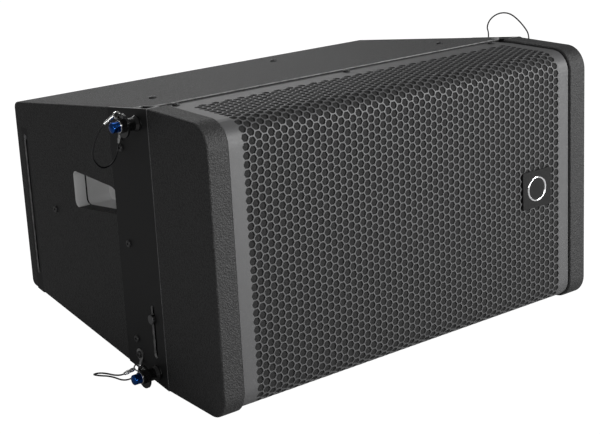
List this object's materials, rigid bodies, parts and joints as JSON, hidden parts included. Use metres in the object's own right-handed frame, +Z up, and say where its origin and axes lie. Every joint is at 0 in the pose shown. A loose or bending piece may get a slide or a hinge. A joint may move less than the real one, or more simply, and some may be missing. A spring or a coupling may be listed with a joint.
{
  "type": "line array speaker",
  "caption": "Line array loudspeaker module: wedge cabinet with a wrapped perforated grille, side rigging channels, sliding links, locking pins on wire lanyards and handles.",
  "frame": {"origin": "under the middle of the cabinet, on the plane that the cheeks stand on", "axes": "+X across the width, to the viewer's right when the grille faces the viewer; +Y from the grille to the back; +Z up"},
  "size_m": [0.7305, 0.477, 0.3747],
  "materials": {
    "badge_plate": "satin dark grey plate with a bright ring",
    "bare_plywood": "birch plywood, painted black on its front",
    "basket_metal": "black die-cast aluminium",
    "board_green": "printed board",
    "button_blue": "blue anodised",
    "cloth_spider": "resin-treated cloth",
    "coated_plywood": "textured black cabinet coating",
    "coil_copper": "enamelled copper winding",
    "component_mix": "wound and moulded components",
    "cone_paper": "pressed paper pulp",
    "cup_plastic": "light grey moulded plastic",
    "ferrule_metal": "bright crimped metal",
    "foam": "open-cell acoustic foam",
    "grille_paint": "satin dark grey powder coat on perforated steel",
    "grip_black": "glossy black moulding",
    "horn_plastic": "moulded waveguide",
    "lanyard_wire": "dark coated wire rope",
    "link_steel": "dark zinc-plated steel",
    "magnet_ferrite": "ferrite and plated steel",
    "pin_steel": "bright stainless steel",
    "plate_paint": "black powder coat",
    "rigging_paint": "fine black powder coat",
    "screw_black": "black zinc",
    "socket_plastic": "black moulded connector shell",
    "surround_rubber": "coated cloth half roll"
  },
  "bodies": {
    "cabinet": {"top_panel": "coated_plywood", "bottom_panel": "coated_plywood", "left_side_wall": "coated_plywood", "right_side_wall": "coated_plywood", "rear_panel": "coated_plywood", "left_cheek": "coated_plywood", "right_cheek": "coated_plywood", "front_baffle": "bare_plywood", "centre_brace": "bare_plywood", "grille": "grille_paint", "grille_foam": "foam", "badge": "badge_plate", "left_rigging_channel": "rigging_paint", "right_rigging_channel": "rigging_paint", "rear_link_guides": "rigging_paint", "left_handle_cup": "cup_plastic", "right_handle_cup": "cup_plastic", "rigging_screws": "screw_black", "case_screws": "screw_black", "woofer_screws": "screw_black", "left_top_lanyard": "lanyard_wire", "left_bottom_lanyard": "lanyard_wire", "right_top_lanyard": "lanyard_wire", "right_bottom_lanyard": "lanyard_wire", "lanyard_anchors": "ferrule_metal", "woofer_basket": "basket_metal", "compression_driver": "basket_metal", "woofer_magnet": "magnet_ferrite", "woofer_spider": "cloth_spider", "woofer_surround": "surround_rubber", "horn": "horn_plastic", "crossover_board": "board_green", "crossover_parts": "component_mix", "input_plate": "plate_paint", "input_sockets": "socket_plastic"},
    "left_front_link": {"left_front_link": "link_steel", "left_link_knob": "link_steel"},
    "left_rear_link": {"left_rear_link": "link_steel"},
    "right_front_link": {"right_front_link": "link_steel", "right_link_knob": "link_steel"},
    "right_rear_link": {"right_rear_link": "link_steel"},
    "left_top_pin": {"left_top_pin_shank": "pin_steel", "left_top_pin_grip": "grip_black", "left_top_pin_eye": "ferrule_metal"},
    "left_top_button": {"left_top_pin_button": "button_blue"},
    "left_bottom_pin": {"left_bottom_pin_shank": "pin_steel", "left_bottom_pin_grip": "grip_black", "left_bottom_pin_eye": "ferrule_metal"},
    "left_bottom_button": {"left_bottom_pin_button": "button_blue"},
    "right_top_pin": {"right_top_pin_shank": "pin_steel", "right_top_pin_grip": "grip_black", "right_top_pin_eye": "ferrule_metal"},
    "right_top_button": {"right_top_pin_button": "button_blue"},
    "right_bottom_pin": {"right_bottom_pin_shank": "pin_steel", "right_bottom_pin_grip": "grip_black", "right_bottom_pin_eye": "ferrule_metal"},
    "right_bottom_button": {"right_bottom_pin_button": "button_blue"},
    "woofer_diaphragm": {"woofer_cone": "cone_paper", "woofer_dust_cap": "cone_paper", "woofer_voice_coil": "coil_copper"}
  },
  "joints": [
    {"name": "left_front_link_slide", "type": "slide", "parent": "cabinet", "child": "left_front_link", "axis": [0, 0, -1], "range_m": [0, 0.045]},
    {"name": "left_rear_link_slide", "type": "slide", "parent": "cabinet", "child": "left_rear_link", "axis": [0, 0, -1], "range_m": [0, 0.06]},
    {"name": "right_front_link_slide", "type": "slide", "parent": "cabinet", "child": "right_front_link", "axis": [0, 0, -1], "range_m": [0, 0.045]},
    {"name": "right_rear_link_slide", "type": "slide", "parent": "cabinet", "child": "right_rear_link", "axis": [0, 0, -1], "range_m": [0, 0.06]},
    {"name": "left_top_pin_pull", "type": "slide", "parent": "cabinet", "child": "left_top_pin", "axis": [-1, 0, 0], "range_m": [0, 0.015], "deforming": ["left_top_lanyard"]},
    {"name": "left_top_button_press", "type": "slide", "parent": "left_top_pin", "child": "left_top_button", "axis": [1, 0, 0], "range_m": [0, 0.0025], "stiffness_N_per_m": 1200},
    {"name": "left_bottom_pin_pull", "type": "slide", "parent": "cabinet", "child": "left_bottom_pin", "axis": [-1, 0, 0], "range_m": [0, 0.015], "deforming": ["left_bottom_lanyard"]},
    {"name": "left_bottom_button_press", "type": "slide", "parent": "left_bottom_pin", "child": "left_bottom_button", "axis": [1, 0, 0], "range_m": [0, 0.0025], "stiffness_N_per_m": 1200},
    {"name": "right_top_pin_pull", "type": "slide", "parent": "cabinet", "child": "right_top_pin", "axis": [1, 0, 0], "range_m": [0, 0.015], "deforming": ["right_top_lanyard"]},
    {"name": "right_top_button_press", "type": "slide", "parent": "right_top_pin", "child": "right_top_button", "axis": [-1, 0, 0], "range_m": [0, 0.0025], "stiffness_N_per_m": 1200},
    {"name": "right_bottom_pin_pull", "type": "slide", "parent": "cabinet", "child": "right_bottom_pin", "axis": [1, 0, 0], "range_m": [0, 0.015], "deforming": ["right_bottom_lanyard"]},
    {"name": "right_bottom_button_press", "type": "slide", "parent": "right_bottom_pin", "child": "right_bottom_button", "axis": [-1, 0, 0], "range_m": [0, 0.0025], "stiffness_N_per_m": 1200},
    {"name": "cone_travel", "type": "slide", "parent": "cabinet", "child": "woofer_diaphragm", "axis": [0, -1, 0], "range_m": [-0.006, 0.006], "stiffness_N_per_m": 3000, "deforming": ["woofer_surround", "woofer_spider"]}
  ]
}
